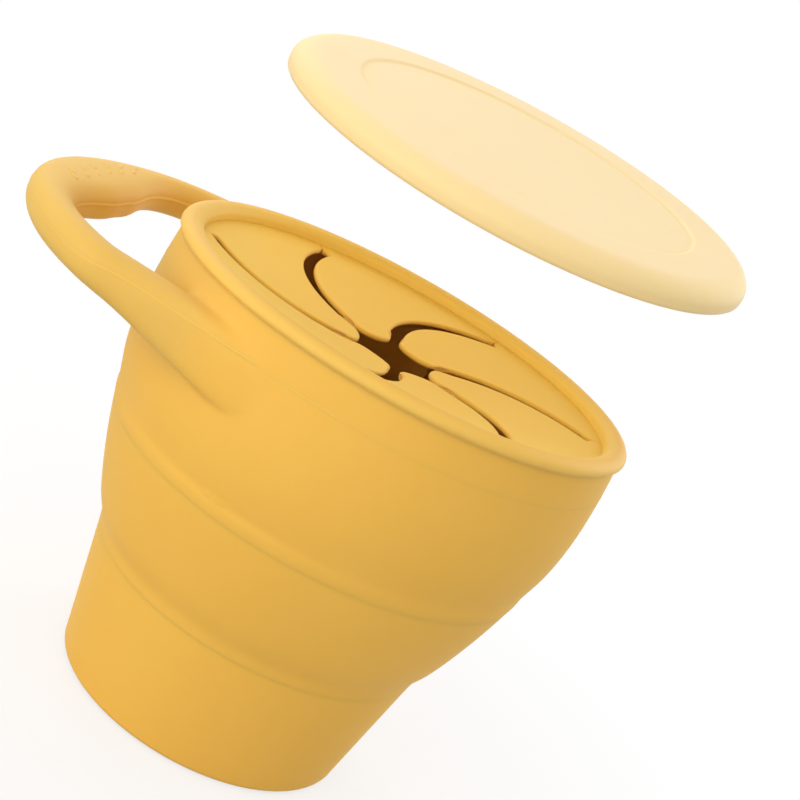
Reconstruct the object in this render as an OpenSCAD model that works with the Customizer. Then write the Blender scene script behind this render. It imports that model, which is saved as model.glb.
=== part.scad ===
// Toddler snack container: a collapsible soft cup with a carrying loop, a top of
// six curved flaps, and a loose cover lid that is held above it.
// The cup's axis is Z, its base rests on z = 0, and the loop points along -X.
// Sizes are in millimetres.

/* [Cup] */
// Radius of the base's outer edge
base_r = 29.6; // [26:0.1:34]
// Height of the base cup, from the floor to the lower crease
base_h = 25.5; // [22:0.5:29]
// How much wider the lower crease is than the base, in radius
base_flare = 4.6; // [3:0.1:6]
// Height of the middle tier with its fold, from the lower crease to the upper one
tier_h = 24; // [22:0.5:27]
// How much wider the upper crease is than the lower one, in radius
tier_flare = 8.5; // [7.5:0.1:10]
// How far the middle tier's wall swells out from a straight cone
tier_swell = 0.6; // [0.2:0.1:1]
// Height of the upper wall with its fold, from the upper crease to the groove
wall_h = 33.4; // [30:0.1:40]
// How much wider the upper wall's widest part is than the upper crease, in radius
wall_flare = 3.4; // [2.5:0.1:5]
// How far below the groove the upper wall is widest
widest_down = 12.4; // [9:0.1:15]
// How far the wall draws in again at the groove under the rim bead
groove_in = 0.6; // [0.2:0.1:1]
// Thickness of the wall
wall_t = 1.8; // [1.4:0.1:2.2]
// Thickness of the floor
floor_t = 2.2; // [1.5:0.1:4]
// Radius of the rounded edge round the base
base_edge_r = 1; // [0.5:0.1:2]

/* [Folds] */
// Height of the soft ring that folds above the lower crease
lower_fold_h = 10.5; // [9:0.5:13]
// Height of the soft ring that folds above the upper crease
upper_fold_h = 12.5; // [11:0.5:14]

/* [Rim and flaps] */
// How far the rim bead stands out past the groove
bead_out = 0.9; // [0.5:0.1:1.5]
// Width of the rim bead from its outside to the crease at the flap top
bead_w = 4.4; // [4:0.1:6]
// Height of the rim bead's crest above the groove
bead_h = 2.8; // [2:0.1:3.5]
// Thickness of the flap top
top_t = 1.2; // [1:0.1:2]
// How far the flap top dips from its edge to its middle
top_dip = 4.2; // [1:0.1:6]
// Number of flaps
flap_count = 6; // [5:1:8]
// Distance from the crease at the flap top's edge to the slits' outer ends
slit_margin = 3.1; // [2.2:0.1:5]
// Width of the slits at their outer ends
slit_w = 1.8; // [1:0.1:2.2]
// How much farther each slit's edges stand from its middle line at the flaps' tips
slit_flare = 0.6; // [0:0.1:1]
// Radius of the round holes at the slits' outer ends
slit_hole_r = 1.1; // [0.8:0.1:1.5]
// Angle about the axis that a slit sweeps from its outer end to the middle
slit_sweep = 30; // [10:1:50]
// Angle from the +X axis to the first slit's outer end
slit_turn = 14.8; // [0:0.5:59.5]
// Distance from the axis at which a flap's rounded tip is centred
flap_tip_at = 11.8; // [9:0.1:13]
// Gap at a flap's bending line
flap_gap = 0.3; // [0.1:0.05:0.6]

/* [Carrying loop] */
// How far the loop's middle plane lies below the groove where it leaves the cup
loop_down = 7.7; // [7:0.1:10]
// Angle at which the loop rises away from the cup
loop_rise = 0.7; // [0:0.1:5]
// How far the loop's outer end reaches past the wall's widest part
loop_out = 28.8; // [26:0.1:38]
// How far the arms' outer faces start inside the wall's widest part
arm_inset = 1.5; // [1:0.1:3]
// Outer radius of the loop's corners
loop_corner_r = 13.8; // [10:0.1:16]
// Angle through which each corner turns
loop_corner_turn = 26.4; // [25:1:40]
// Width of the loop's band away from the cup
band_w = 7.3; // [6.5:0.1:9]
// How much wider the band is where it joins the cup
root_widen = 2.1; // [0:0.1:3]
// How far the arms' outer faces step out again where they meet the wall
root_flare = 0.8; // [0:0.1:1.4]
// Height of the loop's band
band_h = 7.6; // [6:0.1:9]
// How far the thumb pad bulges into the loop
pad_bulge = 8; // [0:0.1:9]
// Length of the thumb pad on each side of its middle
pad_half = 33; // [20:1:36]
// Length over which the pad keeps its full width, on each side of its middle
pad_flat = 3.8; // [0:0.1:12]
// How much farther the pad's underside hangs than the band's
pad_deep = 0.5; // [0:0.1:1.2]
// How much the band deepens downwards for each millimetre towards the cup's middle
root_slope = 0.2; // [0.1:0.01:0.25]
// Distance inside the wall's widest part at which the band begins to deepen
root_at = 4.1; // [2:0.1:12]

/* [Cover lid] */
// Height of the lid
lid_h = 5; // [4.8:0.1:6]
// Depth of the lid's hollow underside
lid_hollow = 3.2; // [2.6:0.1:3.3]
// Clearance between the lid's skirt and the rim bead
lid_gap = 0.35; // [0.2:0.05:0.6]
// Thickness of the lid's skirt
lid_wall = 1.25; // [0.7:0.05:2]
// Width of the lid's raised outer ring, from its outside to the sunken panel
ring_w = 13.3; // [7:0.1:30]
// Depth of the lid's sunken panel
panel_drop = 0.4; // [0.2:0.1:0.7]
// Width of the rounding of the lid's upper edge
lid_round_w = 4.5; // [2:0.1:5]
// Height of the rounding of the lid's upper edge
lid_round_h = 3.4; // [2:0.1:3.6]
// How far the loose lid is lifted above its closed place
lid_lift = 34.7; // [20:0.1:60]
// How far the loose lid is carried sideways
lid_shift = 16.4; // [10:0.1:25]
// Angle by which the loose lid is tipped
lid_tip = 6.1; // [2:0.1:12]
// Angle by which the carrying direction is turned from +Y towards +X
lid_turn = 2; // [0:0.5:10]

/* [Hidden] */
$fn = 96;
yellow = [0.94, 0.72, 0.32];
cream = [0.99, 0.91, 0.76];
flap_step = 360 / flap_count;
// Heights and outer radii of the two creases, the widest part and the groove
lower_crease_z = base_h;
upper_crease_z = lower_crease_z + tier_h;
groove_z = upper_crease_z + wall_h;
widest_z = groove_z - widest_down;
lower_crease_r = base_r + base_flare;
upper_crease_r = lower_crease_r + tier_flare;
wall_r = upper_crease_r + wall_flare;
groove_r = wall_r - groove_in;
// The rim bead's outside, the crease inside it, and the slits' outer ends
bead_r = groove_r + bead_out;
top_r = bead_r - bead_w;
slit_end_r = top_r - slit_margin;
// Steps in the curve of each tier and of the flap top
curve_n = 8;
dip_n = 12;
// Radius of the arc that the middle tier's wall follows, and the arc's centre
tier_chord = norm([tier_flare, tier_h]);
tier_arc_r = tier_chord * tier_chord / (8 * tier_swell) + tier_swell / 2;
tier_mid = [(lower_crease_r + upper_crease_r) / 2, (lower_crease_z + upper_crease_z) / 2];
tier_centre = tier_mid - [tier_h, -tier_flare] / tier_chord * (tier_arc_r - tier_swell);
lower_fold_top = lower_crease_z + lower_fold_h;
upper_fold_top = upper_crease_z + upper_fold_h;
// The rim bead stands on the wall at the groove and is a half ellipse above it
bead_mid_r = (bead_r + top_r) / 2;
bead_half = (bead_r - top_r) / 2;
bead_low = 1.2;
// The flap top's bending line lies at the slits' ends
bend_r = slit_end_r * cos(flap_step / 2);
bend_z = (top_z(slit_end_r) + top_z(bend_r) - top_t) / 2;
// Plan of the loop's outer edge: a straight arm, a corner, and one large arc
loop_z = groove_z - loop_down;
loop_reach = wall_r + loop_out;
arm_y = wall_r - arm_inset;
loop_arc_r = (arm_y - loop_corner_r * (1 - cos(loop_corner_turn))) / cos(loop_corner_turn);
arm_end = loop_reach - loop_corner_r * sin(loop_corner_turn)
    - loop_arc_r * (1 - sin(loop_corner_turn));
// How far the buried ends of the arms reach past the cup's axis
arm_start = 2;
arm_n = 11;
corner_n = 4;
arc_n = 12;
ring_n = 16;
// Exponents of the band's section away from the cup, at the pad and at the cup: 1 is an ellipse
band_power = 0.9;
pad_power = 0.67;
root_power = 0.6;
lid_r = bead_r + lid_gap + lid_wall;
panel_r = lid_r - ring_w;
// The closed lid's lower edge, and the line about which the lid is carried off
lid_z = groove_z + bead_h + 0.1 - lid_hollow;
lid_chord = norm([lid_shift, lid_lift]);
lid_arc_r = lid_chord / 2 / tan(lid_tip / 2);
lid_axis_y = lid_shift / 2 - lid_lift / lid_chord * lid_arc_r;
lid_axis_z = lid_z + lid_lift / 2 + lid_shift / lid_chord * lid_arc_r;

// Outer radius of the cup at height z
function cup_r(z) =
    z < lower_crease_z ? base_r + base_flare * z / base_h
    : z < upper_crease_z ? tier_centre.x + sqrt(tier_arc_r ^ 2 - (z - tier_centre.y) ^ 2)
    : z < widest_z ? wall_r - wall_flare * ((widest_z - z) / (widest_z - upper_crease_z)) ^ 2
    : wall_r - groove_in * ((z - widest_z) / widest_down) ^ 2;

// Height of the flap top's upper face at distance r from the axis
function top_z(r) = groove_z + 0.2 - top_dip * (1 - (r / top_r) ^ 1.5);

function outer_edge(z0, z1, n) =
    [for (i = [0 : n]) let (z = z0 + (z1 - z0) * i / n) [cup_r(z), z]];
function reversed(list) = [for (i = [len(list) - 1 : -1 : 0]) list[i]];
function moved_in(list, d) = [for (p = list) [p.x - d, p.y]];

// A ring of the cup's wall between two heights
module wall_ring(z0, z1, n) {
    outer = outer_edge(z0, z1, n);
    rotate_extrude() polygon(concat(outer, reversed(moved_in(outer, wall_t))));
}

// Body

module base_cup() {
    color(yellow) rotate_extrude() polygon(concat(
        [[0, 0], [cup_r(0) - base_edge_r, 0],
         [cup_r(0) - base_edge_r * 0.3, base_edge_r * 0.3], [cup_r(base_edge_r), base_edge_r],
         [lower_crease_r, lower_crease_z], [lower_crease_r - wall_t, lower_crease_z],
         [cup_r(floor_t) - wall_t, floor_t], [0, floor_t]]));
}

module fold_ring_lower() {
    color(yellow) wall_ring(lower_crease_z, lower_fold_top, curve_n);
}

module middle_tier() {
    color(yellow) wall_ring(lower_fold_top, upper_crease_z, curve_n);
}

module fold_ring_upper() {
    color(yellow) wall_ring(upper_crease_z, upper_fold_top, curve_n);
}

module upper_wall() {
    color(yellow) wall_ring(upper_fold_top, groove_z, curve_n);
}

// Rim and flaps

// Section of the flap top from distance r0 to r1
function top_section(r0, r1) = concat(
    [for (i = [0 : dip_n]) let (r = r0 + (r1 - r0) * i / dip_n) [r, top_z(r)]],
    [for (i = [dip_n : -1 : 0]) let (r = r0 + (r1 - r0) * i / dip_n) [r, top_z(r) - top_t]]);

function bead_section() = concat(
    [for (a = [0 : 15 : 180])
        [bead_mid_r + bead_half * cos(a), groove_z + bead_low + (bead_h - bead_low) * sin(a)]],
    [[top_r, groove_z + 0.2], [top_r - 0.6, top_z(top_r - 0.6)],
     [top_r - 0.6, top_z(top_r - 0.6) - top_t], [top_r, groove_z - top_t],
     [groove_r - wall_t, groove_z - top_t], [groove_r - wall_t, groove_z],
     [groove_r, groove_z]]);

module rim_bead() {
    color(yellow) {
        rotate_extrude() polygon(bead_section());
        difference() {
            rotate_extrude() polygon(top_section(bend_r - 1, top_r - 0.6));
            rotate(slit_turn) cylinder(h = 3 * groove_z, r = slit_end_r + flap_gap / 2
                / cos(flap_step / 2), center = true, $fn = flap_count);
            slit_holes();
        }
    }
}

module slit_holes() {
    for (i = [0 : flap_count - 1])
        rotate(slit_turn + i * flap_step) translate([slit_end_r, 0, groove_z - 8])
            cylinder(h = 16, r = slit_hole_r, $fn = 24);
}

// A slit's middle line at distance r from the axis
function slit_angle(r) = let (s = 1 - r / slit_end_r)
    slit_sweep * s * (2.4 - 0.9 * s - 0.5 * s ^ 2);
// Half the slit's width at distance r from the axis
function slit_half(r) = slit_w / 2 + slit_flare * sqrt(max(0, 1 - r / slit_end_r))
    / sqrt(1 - flap_tip_at / slit_end_r);
function slit_at(r) = r * [cos(slit_angle(r)), sin(slit_angle(r))];
// The slit's edge: its middle line moved sideways by d
function slit_edge(r, d) = let (t = slit_at(r + 0.1) - slit_at(r - 0.1), n = [-t.y, t.x] / norm(t))
    slit_at(r) + n * d;
function turned(p, a) = [p.x * cos(a) - p.y * sin(a), p.x * sin(a) + p.y * cos(a)];

// Plan of the flap between the slit at angle 0 and the next one
function flap_plan() =
    let (tip_r = flap_tip_at * sin(flap_step / 2) - slit_half(flap_tip_at),
         tip_a = slit_angle(flap_tip_at) + flap_step / 2,
         r0 = flap_tip_at + 1)
    concat(
        [for (i = [0 : 9]) let (r = slit_end_r - (slit_end_r - r0) * i / 9)
            slit_edge(r, slit_half(r))],
        [for (a = [-80 : 20 : 80])
            turned([flap_tip_at - tip_r * cos(a), tip_r * sin(a)], tip_a)],
        [for (i = [9 : -1 : 0]) let (r = slit_end_r - (slit_end_r - r0) * i / 9)
            turned(slit_edge(r, -slit_half(r)), flap_step)]);

// The space on a flap's own side of its bending line: a wedge with its edge on that line
module flap_wedge() {
    edge = bend_r - flap_gap / 2;
    rotate(flap_step / 2) rotate([90, 0, 0]) linear_extrude(height = 3 * top_r, center = true)
        polygon([[edge, bend_z], [edge - 10, bend_z + 12], [-15, bend_z + 12],
                 [-15, bend_z - 12], [edge - 10, bend_z - 12]]);
}

module flap(i) {
    color(yellow) rotate(slit_turn + (i - 1) * flap_step) difference() {
        intersection() {
            rotate_extrude() polygon(top_section(0, slit_end_r));
            translate([0, 0, groove_z - 12]) linear_extrude(height = 16) polygon(flap_plan());
            flap_wedge();
        }
        rotate(-slit_turn) slit_holes();
    }
}

// Carrying loop

// Ease from 0 to 1 as t goes from 0 to 1
function eased(t) = let (c = max(0, min(1, t))) c * c * (3 - 2 * c);

// Share of the step out that the arms' outer faces have taken at x, and of the pad's width at y
function root_share(x) = eased((wall_r + x - 18) / 16);
function pad_share(y) = 1 - eased((abs(y) - pad_flat) / (pad_half - pad_flat));

// The loop's outer edge on its +Y half: [x, y, heading], for the arm, the corner and the arc
function loop_edge() = concat(
    [for (i = [0 : arm_n]) let (t = i / arm_n)
        let (x = arm_start - (arm_end + arm_start) * t)
        [x, arm_y - 0.5 * (1 - t) ^ 2 + root_flare * root_share(x), 180]],
    [for (i = [1 : corner_n]) let (a = loop_corner_turn * i / corner_n)
        [-arm_end - loop_corner_r * sin(a), arm_y - loop_corner_r * (1 - cos(a)), 180 + a]],
    [for (i = [1 : arc_n]) let (a = loop_corner_turn + (90 - loop_corner_turn) * i / arc_n)
        [-loop_reach + loop_arc_r * (1 - sin(a)), loop_arc_r * cos(a), 180 + a]]);

// One ring of the loop's skin at an outer-edge station
function loop_ring(p) =
    let (out = wall_r + p.x,
         pad = pad_share(p.y),
         w = band_w + root_widen * eased((out + 14) / 22) + root_flare * root_share(p.x)
             + pad_bulge * pad,
         drop = root_slope * 3 * ln(1 + exp((out - root_at) / 3)),
         plane = loop_z + max(0, 16 - out) * tan(loop_rise),
         low = plane - band_h / 2 - drop - pad_deep * pad,
         high = plane + band_h / 2,
         power = band_power + (root_power - band_power) * eased((out - 2) / 22)
             + (pad_power - band_power) * pad,
         inward = [cos(p.z + 90), sin(p.z + 90)])
    [for (i = [0 : ring_n - 1]) let (a = 360 * i / ring_n,
        c = cos(a), s = sin(a),
        x = sign(c) * abs(c) ^ power,
        z = sign(s) * abs(s) ^ power,
        q = [p.x, p.y] + inward * (w / 2 - w / 2 * x))
        [q.x, q.y, (low + high) / 2 + (high - low) / 2 * z]];

function mirrored_edge(e) = [for (i = [len(e) - 2 : -1 : 0]) [e[i].x, -e[i].y, 540 - e[i].z]];

module loop_skin() {
    edge = loop_edge();
    stations = concat(edge, mirrored_edge(edge));
    rings = [for (p = stations) loop_ring(p)];
    last = len(rings) - 1;
    points = [for (r = rings) each r];
    sides = [for (k = [0 : last - 1]) for (i = [0 : ring_n - 1]) let (j = (i + 1) % ring_n)
        each [[k * ring_n + i, k * ring_n + j, (k + 1) * ring_n + j],
              [k * ring_n + i, (k + 1) * ring_n + j, (k + 1) * ring_n + i]]];
    ends = [[for (i = [ring_n - 1 : -1 : 0]) i], [for (i = [0 : ring_n - 1]) last * ring_n + i]];
    polyhedron(points = points, faces = concat(sides, ends));
}

// The space that the cup's outside fills beside the loop
module cup_space() {
    low = upper_fold_top - 2;
    rotate_extrude() polygon(concat([[0, low]], outer_edge(low, groove_z, curve_n),
        [[0, groove_z]]));
}

module carry_loop() {
    color(yellow) difference() {
        loop_skin();
        cup_space();
    }
}

// Cover lid

module lid_closed() {
    skirt = bead_r + lid_gap;
    rotate_extrude() polygon(concat(
        [[skirt + 0.3, 0], [lid_r - 0.3, 0], [lid_r, 0.5]],
        [for (a = [0 : 15 : 90])
            [lid_r - lid_round_w * (1 - cos(a)), lid_h - lid_round_h * (1 - sin(a))]],
        [[panel_r + 0.5, lid_h], [panel_r, lid_h - panel_drop], [0, lid_h - panel_drop],
         [0, lid_hollow], [skirt, lid_hollow], [skirt, 1]]));
}

module cover_lid() {
    color(cream) rotate(-lid_turn) translate([0, lid_axis_y, lid_axis_z])
        rotate([lid_tip, 0, 0]) translate([0, -lid_axis_y, lid_z - lid_axis_z]) lid_closed();
}

base_cup();
fold_ring_lower();
middle_tier();
fold_ring_upper();
upper_wall();
rim_bead();
carry_loop();
flap(1);  // flap_1
flap(2);  // flap_2
flap(3);  // flap_3
flap(4);  // flap_4
flap(5);  // flap_5
flap(6);  // flap_6
cover_lid();
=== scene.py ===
"""A toddler snack container: a collapsible soft cup with a slitted top, a carrying loop and a loose lid.

Sizes are written in millimetres, as in the part's source, and turned into metres where a mesh is made.
The cup's axis is Z, its base rests on z = 0, and the loop points along -X.
"""

import logging
import math
from dataclasses import dataclass, field, replace
from enum import Enum
from typing import Callable, Optional, Sequence

import bmesh
import bpy
import numpy as np
from bmesh.types import BMEdge, BMesh, BMVert
from bpy.types import ID, Material, Node, NodeSocket, NodeTree, Object
from mathutils import Matrix, Vector
from mathutils.bvhtree import BVHTree


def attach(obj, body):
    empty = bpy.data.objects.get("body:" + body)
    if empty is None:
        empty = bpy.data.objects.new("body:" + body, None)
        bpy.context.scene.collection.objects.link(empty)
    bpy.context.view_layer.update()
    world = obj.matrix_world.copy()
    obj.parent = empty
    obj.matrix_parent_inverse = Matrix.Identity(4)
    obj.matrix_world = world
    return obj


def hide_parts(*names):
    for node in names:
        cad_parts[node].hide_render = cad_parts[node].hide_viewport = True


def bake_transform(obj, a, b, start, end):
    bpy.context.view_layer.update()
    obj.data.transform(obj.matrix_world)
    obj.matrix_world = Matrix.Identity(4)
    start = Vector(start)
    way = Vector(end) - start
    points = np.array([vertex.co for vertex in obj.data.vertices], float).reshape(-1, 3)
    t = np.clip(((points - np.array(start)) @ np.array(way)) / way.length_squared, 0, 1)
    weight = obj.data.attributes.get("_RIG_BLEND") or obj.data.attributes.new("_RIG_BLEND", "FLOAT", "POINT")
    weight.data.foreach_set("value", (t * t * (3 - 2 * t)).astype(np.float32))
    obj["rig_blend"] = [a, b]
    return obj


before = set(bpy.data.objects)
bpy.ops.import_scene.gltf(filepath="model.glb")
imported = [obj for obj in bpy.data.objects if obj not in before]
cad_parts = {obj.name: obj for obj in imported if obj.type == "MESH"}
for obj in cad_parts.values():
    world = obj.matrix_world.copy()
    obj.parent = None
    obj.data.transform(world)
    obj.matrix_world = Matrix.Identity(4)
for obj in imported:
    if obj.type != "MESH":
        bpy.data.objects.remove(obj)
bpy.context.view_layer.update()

LOG = logging.getLogger("snack_container")

MM = 0.001
TURN_STEPS = 240
# Attribute that carries each point's share of painted light and shade.
PAINTED_LIGHT = "painted_light"
UP = Vector((0, 0, 1))
WHITE = (1, 1, 1, 1)

Point = tuple[float, float]
Span = tuple[float, float]
Station = tuple[float, float, float]
Colour = tuple[float, float, float, float]


class Slot(Enum):
    """The record's material slots."""

    CUP = "cup_silicone"
    LID = "lid_silicone"


class Body(Enum):
    """The CAD bodies that pieces ride on."""

    BASE = "base"
    MIDDLE = "middle"
    UPPER = "upper"
    LID = "lid"


def eased(t: float) -> float:
    """Eases from 0 to 1 as t goes from 0 to 1, and stays level outside that."""
    c = max(0.0, min(1.0, t))
    return c * c * (3 - 2 * c)


def ramp(value: float, span: Span) -> float:
    """Eases from 0 to 1 as the value crosses a span, which is given by its start and its length."""
    return eased((value - span[0]) / span[1])


def unit(angle: float) -> Vector:
    """The level unit vector at an angle in radians from +X."""
    return Vector((math.cos(angle), math.sin(angle), 0))


def arc(start: float, end: float, count: int) -> np.ndarray:
    """Evenly spaced angles in radians between two angles in degrees."""
    return np.radians(np.linspace(start, end, count))


def linear(red: int, green: int, blue: int) -> Colour:
    """Turns a display colour into the linear one that a shader socket takes.

    Args:
        red: Red from 0 to 255.
        green: Green from 0 to 255.
        blue: Blue from 0 to 255.

    Returns:
        Red, green, blue and an alpha of 1.
    """
    parts = [c / 255 for c in (red, green, blue)]
    lin = [c / 12.92 if c <= 0.04045 else ((c + 0.055) / 1.055) ** 2.4 for c in parts]
    return (lin[0], lin[1], lin[2], 1.0)


# Nodes


def set_inputs(node: Node, values: dict[str, object]) -> None:
    """Sets a node's inputs by name."""
    for name, value in values.items():
        node.inputs[name].default_value = value


def add_node(tree: NodeTree, kind: str, values: Optional[dict[str, object]] = None,
             **settings: object) -> Node:
    """Adds a node to a tree.

    Args:
        tree: The node tree, changed in place.
        kind: The node's type, without the leading ShaderNode.
        values: Values of its inputs by name.
        settings: Its own settings by name.

    Returns:
        The node.
    """
    node = tree.nodes.new("ShaderNode" + kind)
    for name, value in settings.items():
        setattr(node, name, value)
    set_inputs(node, values or {})
    return node


def link_all(tree: NodeTree, pairs: Sequence[tuple[NodeSocket, NodeSocket]]) -> None:
    """Links the first socket of each pair to the second."""
    for source, target in pairs:
        tree.links.new(source, target)


def seen_directly(tree: NodeTree) -> NodeSocket:
    """Adds nodes that tell the rays of sight, mirroring and transmission from the rays that carry light.

    Args:
        tree: The node tree, changed in place.

    Returns:
        A socket that is 1 for the rays of sight, mirroring and transmission, and else 0.
    """
    path = add_node(tree, "LightPath")
    either = add_node(tree, "Math", operation="MAXIMUM")
    third = add_node(tree, "Math", operation="MAXIMUM")
    link_all(tree, (
        (path.outputs["Is Camera Ray"], either.inputs[0]),
        (path.outputs["Is Glossy Ray"], either.inputs[1]),
        (either.outputs[0], third.inputs[0]),
        (path.outputs["Is Transmission Ray"], third.inputs[1]),
    ))
    return third.outputs[0]


# Finishes


@dataclass(frozen=True)
class SoftSilicone:
    """Matt moulded silicone: light enters it a little, and a fine skin texture breaks up its sheen.

    Colour and deep are the two shades that a faint cloud pattern mixes. Painted light is the shade that a
    piece's own attribute blends in: painted light and shade. Glow and depth say how far red, green and blue
    light travel inside.
    """

    name: str
    colour: Colour
    deep: Colour
    painted_light: Colour
    subsurface: float
    depth: float
    glow: tuple[float, float, float] = (1.0, 0.93, 0.8)
    roughness: float = 0.6
    roughness_spread: float = 0.05
    specular: float = 0.25
    cloud_scale: float = 38
    grain_scale: float = 2600
    grain_height: float = 0.2 * MM
    grain_strength: float = 0.07

    def build(self) -> Material:
        """Makes the finish's node material.

        Returns:
            The material, whose patterns follow Object coordinates.
        """
        mat = bpy.data.materials.new(self.name)
        mat.use_nodes = True
        tree = mat.node_tree
        shader = tree.nodes["Principled BSDF"]
        where = add_node(tree, "TexCoord")
        cloud = add_node(tree, "TexNoise", {"Scale": self.cloud_scale, "Detail": 3})
        tint = add_node(tree, "Mix", {"A": self.colour, "B": self.deep}, data_type="RGBA")
        # The piece's own attribute blends in the painted light and shade.
        share = add_node(tree, "Attribute", attribute_name=PAINTED_LIGHT)
        skin = add_node(tree, "Mix", {"B": self.painted_light}, data_type="RGBA")
        grain = add_node(tree, "TexNoise", {"Scale": self.grain_scale, "Detail": 2})
        bump = add_node(tree, "Bump", {"Strength": self.grain_strength, "Distance": self.grain_height})
        rough = add_node(tree, "MapRange", {"To Min": self.roughness - self.roughness_spread,
                                            "To Max": self.roughness + self.roughness_spread})
        set_inputs(shader, {
            "Subsurface Weight": self.subsurface,
            "Subsurface Radius": self.glow,
            "Subsurface Scale": self.depth,
            "Specular IOR Level": self.specular,
        })
        link_all(tree, (
            (where.outputs["Object"], cloud.inputs["Vector"]),
            (where.outputs["Object"], grain.inputs["Vector"]),
            (cloud.outputs["Fac"], tint.inputs["Factor"]),
            (cloud.outputs["Fac"], rough.inputs["Value"]),
            (tint.outputs["Result"], skin.inputs["A"]),
            (share.outputs["Fac"], skin.inputs["Factor"]),
            (skin.outputs["Result"], shader.inputs["Base Color"]),
            (rough.outputs["Result"], shader.inputs["Roughness"]),
            (grain.outputs["Fac"], bump.inputs["Height"]),
            (bump.outputs["Normal"], shader.inputs["Normal"]),
        ))
        return mat


@dataclass(frozen=True)
class PaleGround:
    """A plain pale ground that looks white and keeps the object's light shadow."""

    name: str = "pale_ground"
    shadow_share: float = 0.3
    shadow_reach: float = 170 * MM
    lit_level: float = 0.95
    bounce: float = 0.55

    def build(self) -> Material:
        """Makes the ground's node material.

        Returns:
            The material: white where it is seen, with a lit share near the object, and matt to other light.
        """
        mat = bpy.data.materials.new(self.name)
        mat.use_nodes = True
        tree = mat.node_tree
        out = tree.nodes["Material Output"]
        tree.nodes.remove(tree.nodes["Principled BSDF"])
        lit = add_node(tree, "BsdfDiffuse", {"Color": (self.lit_level,) * 3 + (1,)})
        matt = add_node(tree, "BsdfDiffuse", {"Color": (self.bounce,) * 3 + (1,)})
        white = add_node(tree, "Emission")
        where = add_node(tree, "TexCoord")
        reach = add_node(tree, "VectorMath", operation="LENGTH")
        share = add_node(tree, "MapRange", {
            "From Min": self.shadow_reach / 3,
            "From Max": self.shadow_reach,
            "To Min": 1 - self.shadow_share,
            "To Max": 1,
        }, interpolation_type="SMOOTHSTEP")
        shown = add_node(tree, "MixShader")
        mix = add_node(tree, "MixShader")
        link_all(tree, (
            (where.outputs["Object"], reach.inputs[0]),
            (reach.outputs["Value"], share.inputs["Value"]),
            (share.outputs["Result"], shown.inputs[0]),
            (lit.outputs[0], shown.inputs[1]),
            (white.outputs[0], shown.inputs[2]),
            (seen_directly(tree), mix.inputs[0]),
            (matt.outputs[0], mix.inputs[1]),
            (shown.outputs[0], mix.inputs[2]),
            (mix.outputs[0], out.inputs["Surface"]),
        ))
        return mat


CUP_FINISH = SoftSilicone(
    name="cup_silicone",
    colour=linear(245, 192, 84),
    deep=linear(240, 185, 77),
    # Painted shade: a duller, less red colour that the loop and the upper wall take on the loop's side.
    painted_light=linear(232, 187, 89),
    subsurface=0.3,
    depth=2.0 * MM,
)
# A paler, yellower copy of the cup silicone for the rim bead: painted light. Its still paler second shade is
# painted light on the bead's inner side.
RIM_PAINTED_FINISH = replace(
    CUP_FINISH,
    name="rim_silicone_painted_light",
    colour=linear(242, 196, 95),
    deep=linear(238, 190, 88),
    painted_light=linear(243, 208, 98),
)
# A slightly duller, less red copy of the cup silicone, with no light entering it, for the mould line and the
# grip dashes: painted shade.
MARK_PAINTED_FINISH = replace(
    CUP_FINISH,
    name="mark_silicone_painted_shade",
    colour=linear(240, 192, 88),
    deep=linear(235, 186, 81),
    subsurface=0.0,
)
# A paler, yellower copy of the cup silicone for the flaps: painted light. Its darker, more orange second
# shade is painted shade along the slit edges.
FLAP_PAINTED_FINISH = replace(
    CUP_FINISH,
    name="flap_silicone_painted_light",
    colour=linear(251, 210, 89),
    deep=linear(248, 205, 82),
    painted_light=linear(246, 190, 76),
)
LID_FINISH = SoftSilicone(
    name="lid_silicone",
    colour=linear(252, 222, 172),
    deep=linear(250, 218, 166),
    # Painted light and shade: a deeper yellow for the lid's round outer edge and for a line along the step
    # round its panel.
    painted_light=linear(255, 218, 157),
    subsurface=0.5,
    depth=3.0 * MM,
)


# Mesh making


def revolved(points: Sequence[Point], steps: int = TURN_STEPS) -> BMesh:
    """Turns a closed section about Z.

    Args:
        points: Corners of the section as (distance from the axis, height), in millimetres.
        steps: Steps in the full turn.

    Returns:
        A closed mesh in metres with its faces outwards.
    """
    bm = bmesh.new()
    verts = [bm.verts.new((r * MM, 0, z * MM)) for r, z in points]
    edges = [bm.edges.new((a, b)) for a, b in zip(verts, verts[1:])]
    if points[0][0] > 0 or points[-1][0] > 0:
        edges.append(bm.edges.new((verts[-1], verts[0])))
    bmesh.ops.spin(bm, geom=verts + edges, cent=(0, 0, 0), axis=(0, 0, 1), dvec=(0, 0, 0),
                   angle=math.tau, steps=steps, use_merge=True, use_duplicate=False)
    bmesh.ops.remove_doubles(bm, verts=bm.verts[:], dist=1e-7)
    bmesh.ops.recalc_face_normals(bm, faces=bm.faces[:])
    return bm


def skin_over(bm: BMesh, rings: Sequence[Sequence[BMVert]], closed: bool = False) -> None:
    """Joins each ring of points to the next and closes the skin.

    Args:
        bm: The mesh that holds the rings, changed in place.
        rings: The rings in order, each closed by its own edges and not yet joined to another.
        closed: Whether the last ring joins up with the first, so that no end is capped.
    """
    loops = [list({edge for vert in ring for edge in vert.link_edges}) for ring in rings]
    for one, two in zip(loops, loops[1:] + loops[:1] if closed else loops[1:]):
        bmesh.ops.bridge_loops(bm, edges=one + two)
    if not closed:
        bmesh.ops.holes_fill(bm, edges=loops[0] + loops[-1], sides=len(loops[0]))
    bmesh.ops.recalc_face_normals(bm, faces=bm.faces[:])


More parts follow.
